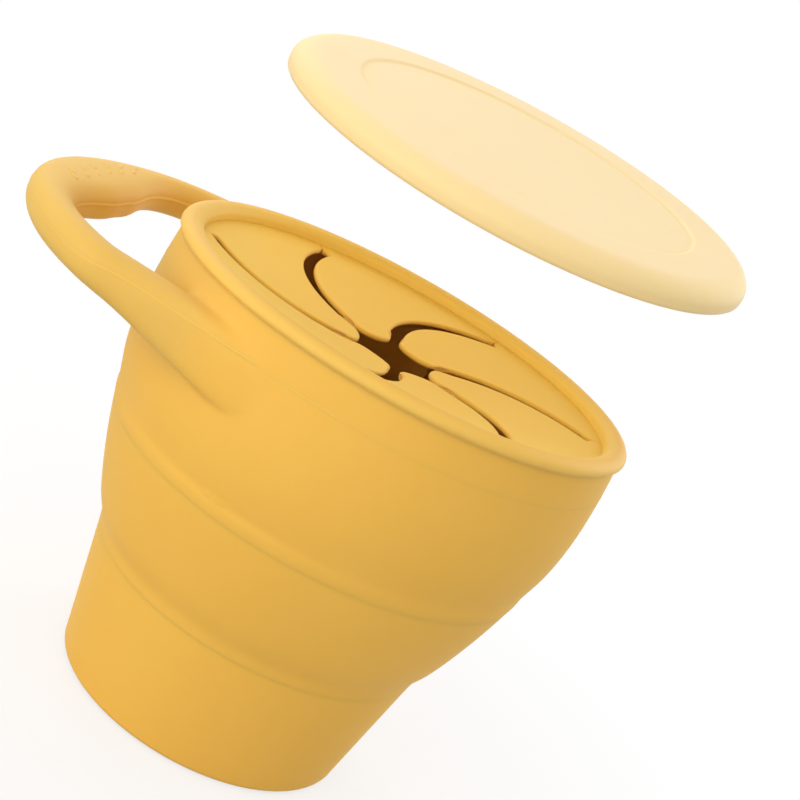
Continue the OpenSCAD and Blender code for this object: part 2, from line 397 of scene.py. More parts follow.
def tube(path: Sequence[Vector], radius: float, closed: bool = False, sides: int = 8) -> BMesh:
    """Sweeps a round section along a path.

    Args:
        path: Points of the tube's middle line, in millimetres.
        radius: The tube's radius in millimetres.
        closed: Whether the tube joins up with its own start.
        sides: Sides of its section.

    Returns:
        A closed mesh in metres.
    """
    bm = bmesh.new()
    rings = []
    last = len(path) - 1
    for i, here in enumerate(path):
        before = path[i - 1] if closed or i else path[0]
        after = path[(i + 1) % (last + 1)] if closed or i < last else path[last]
        turn = (after - before).to_track_quat("Z", "Y").to_matrix().to_4x4()
        place = Matrix.Translation(here * MM) @ turn
        rings.append(bmesh.ops.create_circle(bm, segments=sides, radius=radius * MM, matrix=place)["verts"])
    skin_over(bm, rings, closed)
    return bm


def gathered(parts: Sequence[BMesh]) -> BMesh:
    """Joins several meshes into one and frees them.

    Args:
        parts: The meshes to join.

    Returns:
        One mesh that holds them all.
    """
    whole = bmesh.new()
    for part in parts:
        mesh = bpy.data.meshes.new("part")
        part.to_mesh(mesh)
        part.free()
        whole.from_mesh(mesh)
        bpy.data.meshes.remove(mesh)
    return whole


def axis_distance(vert: BMVert) -> float:
    """A point's distance from the Z axis in millimetres."""
    return vert.co.xy.length / MM


def set_painted_light(bm: BMesh, share: Callable[[BMVert], float]) -> None:
    """Gives each point its share of the finish's painted light and shade colour.

    Args:
        bm: The mesh, changed in place.
        share: Says a point's share, from 0 to 1.
    """
    painted_light = bm.verts.layers.float.new(PAINTED_LIGHT)
    for vert in bm.verts:
        vert[painted_light] = share(vert)


def placed(name: str, data: ID) -> Object:
    """Puts an object into the scene, at the origin.

    Args:
        name: Its name.
        data: Its mesh, lamp or camera.

    Returns:
        The object.
    """
    obj = bpy.data.objects.new(name, data)
    bpy.context.scene.collection.objects.link(obj)
    return obj


def piece(name: str, bm: BMesh, material: Material,
          sharp: float = 50) -> Object:
    """Makes a finished object of a mesh and reports it.

    Args:
        name: The piece's name.
        bm: Its mesh, which is freed.
        material: Its material.
        sharp: Angle in degrees past which an edge stays sharp.

    Returns:
        The object, at the origin.
    """
    mesh = bpy.data.meshes.new(name)
    bm.to_mesh(mesh)
    bm.free()
    mesh.polygons.foreach_set("use_smooth", [True] * len(mesh.polygons))
    mesh.set_sharp_from_angle(angle=math.radians(sharp))
    mesh.materials.append(material)
    obj = placed(name, mesh)
    LOG.info("%s: %d faces", name, len(mesh.polygons))
    return obj


# The cup's wall


@dataclass(frozen=True)
class Dent:
    """A soft ring-shaped hollow in the wall, with its own reach below and above its deepest line."""

    height: float
    depth: float
    below: float
    above: float

    def at(self, z: float) -> float:
        """Depth of the hollow at height z."""
        reach = self.below if z < self.height else self.above
        return self.depth * math.exp(-((z - self.height) / reach) ** 2)


@dataclass
class CupForm:
    """The cup's outside, from its base to the groove under the rim, and what seats on the groove."""

    base_r: float = 29.6
    base_h: float = 25.5
    base_flare: float = 4.6
    tier_h: float = 24.0
    tier_flare: float = 8.5
    tier_swell: float = 0.6
    wall_h: float = 33.4
    wall_flare: float = 3.4
    widest_down: float = 12.4
    groove_in: float = 0.6
    bead_out: float = 0.9
    bead_h: float = 2.8
    lip_up: float = 0.2
    wall_t: float = 1.8
    lower_fold_h: float = 10.5
    upper_fold_h: float = 12.5
    crease_soft: float = 2.0
    crease_peak: float = 1.1
    crease_samples: int = 9
    lower_dent: Dent = Dent(height=28.2, depth=0.45, below=2.0, above=2.4)
    upper_dent: Dent = Dent(height=54.0, depth=0.3, below=2.0, above=3.6)
    side_dent: Dent = Dent(height=52.6, depth=0.26, below=0.9, above=1.2)
    side_at: float = math.radians(100)
    side_spread: float = math.radians(24)
    side_least: float = 0.25

    @property
    def upper_crease_z(self) -> float:
        """Height of the upper crease."""
        return self.base_h + self.tier_h

    @property
    def groove_z(self) -> float:
        """Height of the groove under the rim bead."""
        return self.upper_crease_z + self.wall_h

    @property
    def wall_r(self) -> float:
        """Outer radius of the upper wall at its widest."""
        return self.base_r + self.base_flare + self.tier_flare + self.wall_flare

    @property
    def groove_r(self) -> float:
        """Outer radius at the groove."""
        return self.wall_r - self.groove_in

    @property
    def rim_r(self) -> float:
        """Outer radius of the rim bead, which stands on the groove."""
        return self.groove_r + self.bead_out

    def base_radius(self, z: float) -> float:
        """Outer radius of the base cup at height z."""
        return self.base_r + self.base_flare * z / self.base_h

    def tier_radius(self, z: float) -> float:
        """Outer radius of the middle tier, which follows one shallow arc.

        Args:
            z: The height.

        Returns:
            The radius.
        """
        chord = math.hypot(self.tier_flare, self.tier_h)
        arc_r = chord * chord / (8 * self.tier_swell) + self.tier_swell / 2
        reach = arc_r - self.tier_swell
        mid_r = self.base_r + self.base_flare + self.tier_flare / 2
        centre_r = mid_r - self.tier_h / chord * reach
        centre_z = self.base_h + self.tier_h / 2 + self.tier_flare / chord * reach
        return centre_r + math.sqrt(arc_r ** 2 - (z - centre_z) ** 2)

    def upper_radius(self, z: float) -> float:
        """Outer radius of the upper wall.

        Args:
            z: The height.

        Returns:
            The radius.
        """
        widest = self.groove_z - self.widest_down
        if z < widest:
            return self.wall_r - self.wall_flare * ((widest - z) / (widest - self.upper_crease_z)) ** 2
        return self.wall_r - self.groove_in * ((z - widest) / self.widest_down) ** 2

    def sharp(self, z: float) -> float:
        """Outer radius at height z if the creases were sharp."""
        above = self.tier_radius if z < self.upper_crease_z else self.upper_radius
        return self.base_radius(z) if z < self.base_h else above(z)

    def outside(self, z: float) -> float:
        """Outer radius with softened creases and the hollows above them.

        Args:
            z: The height.

        Returns:
            The radius.
        """
        steps = np.linspace(-1, 1, self.crease_samples)
        weights = self.crease_peak - np.abs(steps)
        share = weights / np.sum(weights)
        soft = sum(part * self.sharp(z + self.crease_soft * step) for part, step in zip(share, steps))
        return float(soft) - self.lower_dent.at(z) - self.upper_dent.at(z)

    def side_depth(self, z: float, angle: float) -> float:
        """Depth at height z and angle of the short hollows beside the loop, above the upper crease."""
        away = (abs(angle) - self.side_at) / self.side_spread
        return self.side_dent.at(z) * (self.side_least + (1 - self.side_least) * math.exp(-away * away))

    def shell(self, low: float, high: float, count: int) -> list[Point]:
        """Closed section of the wall between two heights, with this many points on each side."""
        outside = [(self.outside(z), z) for z in np.linspace(low, high, count)]
        return outside + [(r - self.wall_t, z) for r, z in reversed(outside)]


@dataclass
class LowerBody:
    """The base cup and the middle tier, each made from crease to crease."""

    form: CupForm
    floor_t: float = 2.2
    edge_r: float = 1.2
    inner_r: float = 3.0

    def base_section(self) -> list[Point]:
        """Section of the base.

        Returns:
            Its rounded foot, its wall and its floor with a soft inner corner.
        """
        f = self.form
        foot_r = f.outside(self.edge_r) - self.edge_r
        foot = [(foot_r + self.edge_r * math.cos(a), self.edge_r * (1 - math.sin(a))) for a in arc(90, 0, 7)]
        wall = [(f.outside(z), z) for z in np.linspace(self.edge_r + 1, f.base_h, 44)]
        floor_end = self.floor_t + self.inner_r
        inside = [(f.outside(z) - f.wall_t, z) for z in np.linspace(f.base_h, floor_end, 24)]
        corner_r = f.outside(self.floor_t) - f.wall_t - self.inner_r
        corner = [(corner_r + self.inner_r * math.sin(a), floor_end - self.inner_r * math.cos(a))
                  for a in arc(80, 0, 9)]
        return [(0, 0)] + foot + wall + inside + corner + [(0, self.floor_t)]

    def build(self, material: Material) -> list[Object]:
        """Makes the two pieces and fits them to their bodies.

        Args:
            material: The cup's material.

        Returns:
            The base and the tier.
        """
        f = self.form
        base = piece("base_skin", revolved(self.base_section()), material)
        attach(base, Body.BASE.value)
        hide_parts("base_cup")
        ring = revolved(f.shell(f.base_h, f.upper_crease_z, 49))
        tier = piece("middle_tier_skin", ring, material)
        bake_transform(tier, Body.BASE.value, Body.MIDDLE.value, start=(0, 0, f.base_h * MM),
                 end=(0, 0, (f.base_h + f.lower_fold_h) * MM))
        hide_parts("fold_ring_lower", "middle_tier")
        return [base, tier]


@dataclass
class CarryingLoop:
    """The carrying loop's form: two arms that leave the wall along it, two corners and one large arc.

    A station is a point of the loop's outer edge, given as x, y and the edge's heading in radians. A
    span along the loop is given as the x where it starts and its length, which runs towards the cup.
    """

    form: CupForm
    down: float = 7.7
    rise: float = math.tan(math.radians(0.7))
    rise_from: float = 30.0
    out: float = 28.8
    arm_inset: float = 1.5
    arm_bow: float = 0.5
    buried_to: float = 2.0
    corner_r: float = 13.8
    corner_turn: float = math.radians(26.4)
    band_w: float = 7.3
    root_widen: float = 2.1
    widen_span: Span = (-60, 22)
    root_flare: float = 0.8
    flare_span: Span = (-28, 16)
    band_h: float = 7.6
    pad_bulge: float = 8.0
    pad_half: float = 33.0
    pad_flat: float = 3.8
    pad_deep: float = 0.5
    root_from: float = -42.0
    root_slope: float = 0.2
    root_soft: float = 3.0
    squareness: float = 0.9
    pad_squareness: float = 0.67
    root_squareness: float = 0.6
    root_span: Span = (-44, 22)
    line_up: float = 0.4
    line_rise: float = 1.1
    line_span: Span = (-50, 14)
    line_buried: float = 0.1
    sides: int = 40

    @property
    def arm_y(self) -> float:
        """Distance of the arms' outer faces from the loop's middle."""
        return self.form.wall_r - self.arm_inset

    @property
    def reach(self) -> float:
        """Distance of the loop's outer end from the cup's axis."""
        return self.form.wall_r + self.out

    def edge(self) -> list[Station]:
        """The loop's outer edge.

        Returns:
            Its stations from one buried end to the other.
        """
        turn, r = self.corner_turn, self.corner_r
        big = (self.arm_y - r * (1 - math.cos(turn))) / math.cos(turn)
        arm_end = self.reach - r * math.sin(turn) - big * (1 - math.sin(turn))
        half = [(x, self.arm_y - self.arm_bow * (1 - t) ** 2 + self.flare(x), math.pi)
                for t in np.linspace(0, 1, 34) for x in [self.buried_to - (arm_end + self.buried_to) * t]]
        half += [(-arm_end - r * math.sin(a), self.arm_y - r * (1 - math.cos(a)), math.pi + a)
                 for a in np.linspace(0, turn, 9)[1:]]
        half += [(-self.reach + big * (1 - math.sin(a)), big * math.cos(a), math.pi + a)
                 for a in np.linspace(turn, math.pi / 2, 34)[1:]]
        return half + [(x, -y, 3 * math.pi - h) for x, y, h in reversed(half[:-1])]

    def plane(self, x: float) -> float:
        """Height of the loop's middle plane at x."""
        return self.form.groove_z - self.down + max(0.0, -x - self.rise_from) * self.rise

    def flare(self, x: float) -> float:
        """How far the arms' outer faces step out at x, where they meet the wall."""
        return self.root_flare * ramp(x, self.flare_span)

    def pad(self, y: float) -> float:
        """Share of the grip pad's full form at y."""
        return 1 - ramp(abs(y), (self.pad_flat, self.pad_half - self.pad_flat))

    def limits(self, x: float, y: float) -> Point:
        """Heights between which the band lies.

        Args:
            x: The place's x.
            y: The place's y.

        Returns:
            The lowest and the highest height.
        """
        drop = self.root_slope * self.root_soft * math.log1p(math.exp((x - self.root_from) / self.root_soft))
        mid = self.plane(x)
        return mid - self.band_h / 2 - drop - self.pad_deep * self.pad(y), mid + self.band_h / 2

    def width(self, x: float, y: float) -> float:
        """Width of the band with its grip pad at x and y."""
        return (self.band_w + self.root_widen * ramp(x, self.widen_span) + self.flare(x)
                + self.pad_bulge * self.pad(y))

    def line_level(self, x: float) -> float:
        """Height at x of the line along which the mould's halves met."""
        return self.plane(x) + self.line_up + self.line_rise * ramp(x, self.line_span)

    def power(self, x: float, y: float) -> float:
        """Exponent of the section at x and y: 1 is an ellipse and less is squarer."""
        return (self.squareness + (self.root_squareness - self.squareness) * ramp(x, self.root_span)
                + (self.pad_squareness - self.squareness) * self.pad(y))

    @staticmethod
    def inward(heading: float) -> Vector:
        """The level direction from the outer edge to the inner one."""
        return Vector((-math.sin(heading), math.cos(heading), 0))

    def at(self, station: Station, angle: float) -> Vector:
        """A point of the loop's skin.

        Args:
            station: The station at the section.
            angle: Angle about the section's middle, from the outer side upwards.

        Returns:
            The point in millimetres.
        """
        x, y, heading = station
        low, high = self.limits(x, y)
        c, s = math.cos(angle), math.sin(angle)
        power = self.power(x, y)
        across = math.copysign(abs(c) ** power, c)
        up = math.copysign(abs(s) ** power, s)
        half = self.width(x, y) / 2
        spot = Vector((x, y, 0)) + self.inward(heading) * (half - half * across)
        spot.z = (low + high) / 2 + (high - low) / 2 * up
        return spot

    def mesh(self) -> BMesh:
        """Makes the band from rings of its section along its edge.

        Returns:
            A closed mesh in metres.
        """
        bm = bmesh.new()
        rings = []
        for station in self.edge():
            ring = bmesh.ops.create_circle(bm, segments=self.sides, radius=1)["verts"]
            for i, vert in enumerate(ring):
                vert.co = self.at(station, math.tau * i / self.sides) * MM
            rings.append(ring)
        skin_over(bm, rings)
        return bm

    def mould_line(self, inner: bool) -> list[Vector]:
        """The line along which the mould's halves met, on the band's outer or inner side.

        Args:
            inner: Whether the line on the side towards the cup is wanted.

        Returns:
            Its points in millimetres, from where it leaves the wall to where it meets it again.
        """
        line = []
        for station in self.edge():
            x, y, _ = station
            low, high = self.limits(x, y)
            level = (self.line_level(x) - (low + high) / 2) / ((high - low) / 2)
            angle = math.asin(abs(level) ** (1 / self.power(x, y)))
            spot = self.at(station, math.pi - angle if inner else angle)
            if math.hypot(spot.x, spot.y) > self.form.upper_radius(spot.z) - self.line_buried:
                line.append(spot)
        return line


@dataclass
class UpperBody:
    """The upper wall with its fold, the carrying loop grown into it, the rim bead and the mould line.

    The voxel remesh leaves a rough skin. Its points within skin_near of the loop, where they stand
    skin_out beyond the wall, go on to the loop. Those within wall_near of the wall, where they are
    wall_clear of the loop, go on to the wall. The melt fields say how the roots are then drawn soft.
    """

    form: CupForm
    loop: CarryingLoop
    voxel: float = 0.5
    spare: float = 3.0
    rough_steps: int = 180
    levels: int = 400
    skin_near: float = 0.3
    skin_out: float = 0.5
    wall_near: float = 0.25
    wall_clear: float = 0.6
    root_blend: float = 3.2
    melt_step: float = 0.5
    melt_rounds: int = 26
    melt_span: Span = (68, 4)
    melt_least: float = 0.03
    melt_depth: float = 1.0
    # Spans in x and in height over which the painted shade on the loop's side comes in.
    painted_light_out: Span = (15, 15)
    painted_light_up: Span = (62, 6)
    bead_w: float = 4.4
    bead_low: float = 1.2
    bead_painted_w: float = 1.8
    bead_from: float = -52
    top_t: float = 1.2
    lip_edge: Point = (0.5, 0.3)
    line_r: float = 0.5
    line_sunk: float = 0.45
    inner_line_sunk: float = 0.32

    def grown_together(self) -> BMesh:
        """Grows the loop and the wall into one skin with soft roots, and trims it at crease and groove.

        Returns:
            The closed mesh in metres.
        """
        f = self.form
        band = self.loop.mesh()
        touch = BVHTree.FromBMesh(band)
        rough = bpy.data.meshes.new("rough")
        wall = f.shell(f.upper_crease_z - self.spare, f.groove_z + self.spare, 60)
        gathered([revolved(wall, self.rough_steps), band]).to_mesh(rough)
        holder = placed("rough", rough)
        remesh = holder.modifiers.new("grow", "REMESH")
        remesh.mode = "VOXEL"
        remesh.voxel_size = self.voxel * MM
        shape = holder.evaluated_get(bpy.context.evaluated_depsgraph_get())
        grown = bpy.data.meshes.new_from_object(shape)
        bpy.data.objects.remove(holder)
        bpy.data.meshes.remove(rough)
        co = np.zeros(len(grown.vertices) * 3)
        grown.vertices.foreach_get("co", co)
        co = co.reshape(-1, 3) / MM
        links = np.zeros(len(grown.edges) * 2, int)
        grown.edges.foreach_get("vertices", links)
        co = self.smoothed(co, links.reshape(-1, 2), touch)
        grown.vertices.foreach_set("co", (co * MM).ravel())
        bm = bmesh.new()
        bm.from_mesh(grown)
        bpy.data.meshes.remove(grown)
        self.trim(bm, f.upper_crease_z, below=True)
        self.trim(bm, f.groove_z, below=False)
        # Painted shade: the loop and the wall on its side take the duller colour, fading in towards -X and
        # upwards.
        set_painted_light(bm, lambda vert: ramp(-vert.co.x / MM, self.painted_light_out) * ramp(vert.co.z / MM, self.painted_light_up))
        return bm

    def smoothed(self, co: np.ndarray, links: np.ndarray, touch: BVHTree) -> np.ndarray:
        """Puts the wall's points on its true form and melts the loop's roots into it.

        Args:
            co: Points in millimetres.
            links: Pairs of linked points.
            touch: The loop's own surface, in metres.

        Returns:
            The moved points.
        """
        f = self.form
        r = np.hypot(co[:, 0], co[:, 1])
        levels = np.linspace(co[:, 2].min(), co[:, 2].max(), self.levels)
        true_r = np.interp(co[:, 2], levels, [f.outside(z) for z in levels])
        true_r -= np.array([f.side_depth(z, math.atan2(y, x)) for x, y, z in co])
        hits = [touch.find_nearest(Vector(p * MM)) for p in co]
        away = np.array([hit[3] for hit in hits]) / MM
        on_loop = (away < self.skin_near) & (r > true_r + self.skin_out)
        co = np.where(on_loop[:, None], np.array([hit[0] for hit in hits]) / MM, co)
        depth = true_r - r
        target = np.where(depth < f.wall_t / 2, true_r, true_r - f.wall_t)
        inner = depth > f.wall_t / 2
        on_wall = (np.abs(target - r) < self.wall_near) & ((away > self.wall_clear) | inner)
        scale = np.where(on_wall, target / np.maximum(r, 1), 1)
        co = co * np.column_stack([scale, scale, np.ones(len(r))])
        near = np.clip(1 - np.abs(depth) / self.root_blend, 0, 1) * np.clip(1 - away / self.root_blend, 0, 1)
        near = np.where(inner | (depth > self.melt_depth), 0, near)
        start, length = self.melt_span
        soft_above = np.clip((co[:, 2] - start) / length, self.melt_least, 1)
        return self.relaxed(co, links, self.melt_step * np.sqrt(near) * soft_above)

    def relaxed(self, co: np.ndarray, links: np.ndarray, weight: np.ndarray) -> np.ndarray:
        """Draws points towards the middle of their neighbours, round after round.

        Args:
            co: Points.
            links: Pairs of linked points.
            weight: How far each point goes in a round, from 0 to 1.

        Returns:
            The moved points.
        """
        counts = np.bincount(links.ravel(), minlength=len(co)).clip(1)
        for _ in range(self.melt_rounds):
            total = np.zeros_like(co)
            for axis in range(3):
                total[:, axis] = (np.bincount(links[:, 0], co[links[:, 1], axis], len(co))
                                  + np.bincount(links[:, 1], co[links[:, 0], axis], len(co)))
            co += weight[:, None] * (total / counts[:, None] - co)
        return co

    @staticmethod
    def trim(bm: BMesh, height: float, below: bool) -> None:
        """Cuts the mesh level at a height and closes the cut with a flat ring.

        Args:
            bm: The mesh, changed in place.
            height: The cut's height in millimetres.
            below: Whether what lies below the cut goes, and not what lies above it.
        """
        cut = bmesh.ops.bisect_plane(bm, geom=bm.verts[:] + bm.edges[:] + bm.faces[:], dist=1e-7,
                                     plane_co=(0, 0, height * MM), plane_no=(0, 0, 1),
                                     clear_inner=below, clear_outer=not below)
        rim = [e for e in cut["geom_cut"] if isinstance(e, BMEdge) and e.is_boundary]
        bmesh.ops.bridge_loops(bm, edges=rim)
        bmesh.ops.recalc_face_normals(bm, faces=bm.faces[:])

    def bead_section(self) -> list[Point]:
        """Section of the rim bead.

        Returns:
            The bead's round and the lip that carries the flaps.
        """
        f = self.form
        outer = f.rim_r
        half = self.bead_w / 2
        mid_r, mid_z = outer - half, f.groove_z + self.bead_low
        top_r = outer - self.bead_w
        roll = [(mid_r + half * math.cos(a),
                 mid_z + (f.bead_h - self.bead_low if a > 0 else self.bead_low) * math.sin(a))
                for a in arc(self.bead_from, 180, 36)]
        inner_r = f.groove_r - f.wall_t
        low = f.groove_z - self.top_t
        lip = [(top_r, f.groove_z + f.lip_up), (top_r, low + self.lip_edge[1]),
               (top_r + self.lip_edge[0], low), (inner_r, low), (inner_r, f.groove_z)]
        return roll + lip + [(f.groove_r, f.groove_z)]

    def mould_lines(self) -> BMesh:
        """The faint raised line left by the mould.

        Returns:
            One mesh of the line round the wall and the lines along both sides of the loop.
        """
        f = self.form
        level = self.loop.line_level(0)
        r = f.outside(level) - self.line_sunk
        ring = [Vector((r * math.cos(a), r * math.sin(a), level)) for a in np.linspace(0, math.tau, 241)[:-1]]
        parts = [tube(ring, self.line_r, closed=True)]
        for inner in (False, True):
            line = self.loop.mould_line(inner)
            sunk = []
            for i, spot in enumerate(line):
                along = line[min(i + 1, len(line) - 1)] - line[max(i - 1, 0)]
                side = along.cross(UP).normalized()
                sunk.append(spot + side * (self.inner_line_sunk if inner else -self.line_sunk))
            parts.append(tube(sunk, self.line_r))
        return gathered(parts)

    def build(self, material: Material, rim: Material, marks: Material) -> list[Object]:
        """Makes the wall with its loop, the rim bead and the mould line, and fits them to their bodies.

        Args:
            material: The cup's material.
            rim: The rim bead's material.
            marks: The mould line's material.

        Returns:
            The three pieces.
        """
        f = self.form
        wall = piece("upper_wall_and_loop", self.grown_together(), material)
        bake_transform(wall, Body.MIDDLE.value, Body.UPPER.value, start=(0, 0, f.upper_crease_z * MM),
                 end=(0, 0, (f.upper_crease_z + f.upper_fold_h) * MM))
        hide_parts("fold_ring_upper", "upper_wall", "carry_loop")
        roll = revolved(self.bead_section())
        # Painted light: the bead's inner side and the lip under the flaps take the paler shade.
        inside = f.rim_r - self.bead_painted_w
        set_painted_light(roll, lambda vert: eased((inside - axis_distance(vert)) / self.bead_painted_w))
        bead = piece("rim_bead_skin", roll, rim)
        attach(bead, Body.UPPER.value)
        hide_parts("rim_bead")
        line = piece("mould_line", self.mould_lines(), marks)
        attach(line, Body.UPPER.value)
        return [wall, bead, line]


@dataclass
class FlapTop:
    """The slitted top: six curved flaps that meet in a small opening."""

    form: CupForm
    count: int = 6
    edge_r: float = 42.15
    crease_r: float = 42.0
    dip: float = 4.2
    dip_power: float = 1.5
    thick: float = 1.1
    slit_end_r: float = 38.9
    slit_w: float = 1.8
    slit_flare: float = 0.6
    hole_r: float = 1.15
    lean_step: float = 0.05
    sweep: float = math.radians(30)
    sweep_start: float = 2.4
    sweep_slow: float = 0.9
    sweep_settle: float = 0.5
    turn: float = math.radians(14.8)
    tip_at: float = 11.8
    nose_run: float = 7.0
    bend_half: float = 2.5
    rows: int = 84
    row_power: float = 1.5
    columns: int = 48
    column_power: float = 1.8
    outline_steps: int = 160
    nose_steps: int = 20
    upper_round: Point = (0.5, 0.4)
    lower_round: Point = (0.8, 0.5)
    round_past: float = 0.2
    round_share: float = 0.9
    sharp: float = 75

    def height(self, r: float) -> float:
        """Height of the top's upper face at distance r from the axis."""
        return self.form.groove_z + self.form.lip_up - self.dip * (1 - (r / self.crease_r) ** self.dip_power)

    def slit_angle(self, r: float) -> float:
        """Angle of a slit's middle line at distance r, from where its outer end lies."""
        s = max(0.0, 1 - r / self.slit_end_r)
        return self.sweep * s * (self.sweep_start - self.sweep_slow * s - self.sweep_settle * s * s)

    def slit_half(self, r: float) -> float:
        """Half the slit's own width at distance r."""
        widening = math.sqrt(max(0.0, 1 - r / self.slit_end_r) / (1 - self.tip_at / self.slit_end_r))
        return self.slit_w / 2 + self.slit_flare * widening

    def half_gap(self, r: float) -> float:
        """Half the slit's width across the radius.

        Args:
            r: The distance from the axis.

        Returns:
            The half width, which takes in the round hole at the slit's end.
        """
        step = self.lean_step
        lean = r * (self.slit_angle(r - step) - self.slit_angle(r)) / step
        slot = self.slit_half(r) * math.hypot(1, lean) if r < self.slit_end_r else 0.0
        hole = math.sqrt(max(0.0, self.hole_r ** 2 - (r - self.slit_end_r) ** 2))
        return max(slot, hole)

    def flap_point(self, u: float, v: float) -> Vector:
        """A point of a flap's upper face.

        Args:
            u: From 0 at the flap's tip to 1 at the crease.
            v: From -1 at one slit to 1 at the other.

        Returns:
            The point in millimetres, for the flap whose first slit ends on the +X axis.
        """
        half_step = math.pi / self.count
        tip_r = self.tip_at * math.sin(half_step) - self.slit_half(self.tip_at)
        r = self.tip_at + (self.edge_r - self.tip_at) * u
        settled = ramp(r, (self.tip_at, self.nose_run))
        across = v * settled + math.sin(v * math.pi / 2) * (1 - settled)
        half = half_step - math.asin(min(1.0, self.half_gap(r) / r))
        nose = tip_r * math.cos(v * math.pi / 2) * (1 - settled)
        towards = self.slit_angle(r) + half_step
        angle = towards + half * across
        return Vector((r * math.cos(angle), r * math.sin(angle), 0)) - unit(towards) * nose

    def outline(self) -> list[Vector]:
        """The flap's free edge.

        Returns:
            Its points in a row, from the crease round the tip and back to the crease.
        """
        along = [(k / self.outline_steps) ** self.row_power for k in range(self.outline_steps + 1)]
        side = [self.flap_point(u, -1) for u in reversed(along)]
        tip = [self.flap_point(0, k / self.nose_steps) for k in range(1 - self.nose_steps, self.nose_steps)]
        return side + tip + [self.flap_point(u, 1) for u in along]

    def inset(self, spot: Vector, outline: Sequence[Vector]) -> float:
        """How far a point lies in from the flap's free edge.

        Args:
            spot: The point.
            outline: The free edge, as outline() gives it.

        Returns:
            The shortest distance between them.
        """
        nearest = self.edge_r
        for start, end in zip(outline, outline[1:]):
            way = end - start
            share = min(1.0, max(0.0, (spot - start).dot(way) / way.length_squared))
            nearest = min(nearest, (spot - start - way * share).length)
        return nearest

    def rounding(self, size: Point, r: float, inset: float) -> float:
        """How far a quarter round at the edge takes the surface in.

        Args:
            size: The round's width and height.
            r: The distance from the axis; the round runs out where the slit ends.
            inset: How far the point lies in from the edge.

        Returns:
            The distance from the surface without the round.
        """
        wide, deep = size
        kept = 1 - ramp(r, (self.slit_end_r + self.round_past, self.hole_r * self.round_share))
        share = min(1.0, inset / wide)
        return deep * kept * (1 - math.sqrt(1 - (1 - share) ** 2))

    def pattern(self) -> BMesh:
        """Makes one flap with rounded edges.

        Returns:
            A closed mesh in metres of the flap whose first slit ends on the +X axis.
        """
        bm = bmesh.new()
        bmesh.ops.create_grid(bm, x_segments=self.rows, y_segments=self.columns, size=1)
        outline = self.outline()
        inset = bm.verts.layers.float.new("inset")
        for vert in bm.verts:
            u = ((vert.co.x + 1) / 2) ** self.row_power
            v = math.copysign(1 - max(0.0, 1 - abs(vert.co.y)) ** self.column_power, vert.co.y)
            spot = self.flap_point(u, v)
            vert[inset] = self.inset(spot, outline)
            vert.co = spot * MM
        bmesh.ops.recalc_face_normals(bm, faces=bm.faces[:])
        if bm.faces[:][0].normal.z > 0:
            bmesh.ops.reverse_faces(bm, faces=bm.faces[:])
        upper = bm.verts[:]
        down = bmesh.ops.extrude_face_region(bm, geom=bm.faces[:])
        lower = [g for g in down["geom"] if isinstance(g, BMVert)]
        for vert in upper:
            r = axis_distance(vert)
            vert.co.z = (self.height(r) - self.rounding(self.upper_round, r, vert[inset])) * MM
        for vert in lower:
            r = axis_distance(vert)
            vert.co.z = (self.height(r) - self.thick + self.rounding(self.lower_round, r, vert[inset])) * MM
            vert[inset] = 0
        # Painted shade: the darker, more orange shade along the flaps' free edges, on the slit walls and on
        # the underside.
        set_painted_light(bm, lambda vert: 1 - eased(vert[inset] / self.upper_round[0]))
        bm.verts.layers.float.remove(inset)
        bmesh.ops.recalc_face_normals(bm, faces=bm.faces[:])
        return bm

    def build(self, material: Material) -> list[Object]:
        """Makes the flaps, each bending between the upper body and its own.

        Args:
            material: The flaps' material.

        Returns:
            The flaps.
        """
        flaps = []
        pattern = self.pattern()
        bend_r = self.slit_end_r * math.cos(math.pi / self.count)
        level = Vector((0, 0, self.form.groove_z * MM))
        for i in range(self.count):
            turned = pattern.copy()
            turn = Matrix.Rotation(self.turn + i * math.tau / self.count, 3, "Z")
            bmesh.ops.rotate(turned, cent=(0, 0, 0), matrix=turn, verts=turned.verts[:])
            flap = piece(f"flap_{i + 1}_skin", turned, material, sharp=self.sharp)
            out = unit(self.turn + (i + 0.5) * math.tau / self.count)
            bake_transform(flap, Body.UPPER.value, f"flap_{i + 1}_body",
                     start=tuple(out * (bend_r + self.bend_half) * MM + level),
                     end=tuple(out * (bend_r - self.bend_half) * MM + level))
            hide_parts(f"flap_{i + 1}")
            flaps.append(flap)
        return flaps


@dataclass
class GripMarks:
    """Low raised dashes on the grip's top, in two staggered rows."""

    loop: CarryingLoop
    half_length: float = 1.3
    half_width: float = 0.5
    rise: float = 0.17
    sunk: float = 0.03
    rows: tuple[float, float] = (0.58, 0.44)
    slant: float = 0.6
    grip_to: float = -50.0
    spread: float = 34.0
    count: int = 12

    def build(self, material: Material) -> Object:
        """Makes the dashes as one piece that rides with the upper wall.

        Args:
            material: The dashes' material.

        Returns:
            The dashes.
        """
        loop = self.loop
        edge = [station for station in loop.edge() if station[0] < self.grip_to]
        whole = bmesh.new()
        for i in range(self.count):
            want = (i / (self.count - 1) - 0.5) * self.spread
            x, y, heading = min(edge, key=lambda s: abs(s[1] - want))
            top = Vector((x, y, loop.limits(x, y)[1] - self.sunk))
            spot = top + loop.inward(heading) * loop.width(x, y) * self.rows[i % 2]
            shape = Matrix.Diagonal((self.half_length * MM, self.half_width * MM, self.rise * MM, 1))
            place = Matrix.Translation(spot * MM) @ Matrix.Rotation(heading + self.slant, 4, "Z") @ shape
            bmesh.ops.create_icosphere(whole, subdivisions=3, radius=1, matrix=place)
        marks = piece("grip_marks", whole, material)
        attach(marks, Body.UPPER.value)
        return marks


# The cover lid


